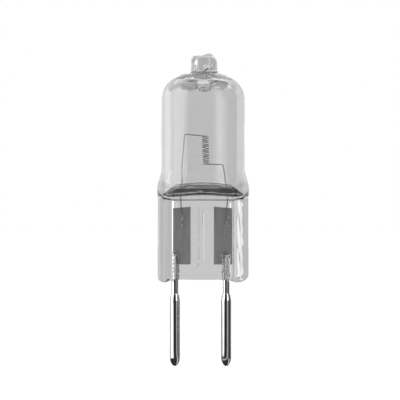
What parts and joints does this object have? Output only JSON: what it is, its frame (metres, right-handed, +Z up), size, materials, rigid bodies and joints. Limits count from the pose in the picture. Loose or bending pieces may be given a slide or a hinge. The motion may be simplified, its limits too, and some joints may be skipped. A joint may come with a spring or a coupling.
{
  "type": "halogen capsule bulb",
  "caption": "Clear quartz capsule lamp with a coiled filament, a flat press seal and a pair of straight metal pins that plug into a lamp holder.",
  "frame": {"origin": "on the glass bulb's axis, level with the tips of the pins", "axes": "+Z up along the bulb, from the pins to the closed exhaust tip; +X from the left pin to the right pin; -Y is the front"},
  "size_m": [0.0114, 0.0104, 0.0388],
  "materials": {
    "quartz": "clear, fire-polished",
    "tungsten": "drawn wire, dull grey",
    "molybdenum_foil": "thin rolled foil, matt grey",
    "molybdenum_rod": "ground rod, satin",
    "nickel": "bright nickel"
  },
  "bodies": {
    "root": {"quartz_envelope": "quartz", "tungsten_filament": "tungsten", "foil_left": "molybdenum_foil", "foil_right": "molybdenum_foil", "outer_lead_left": "molybdenum_rod", "outer_lead_right": "molybdenum_rod", "contact_pin_left": "nickel", "contact_pin_right": "nickel"}
  },
  "joints": []
}
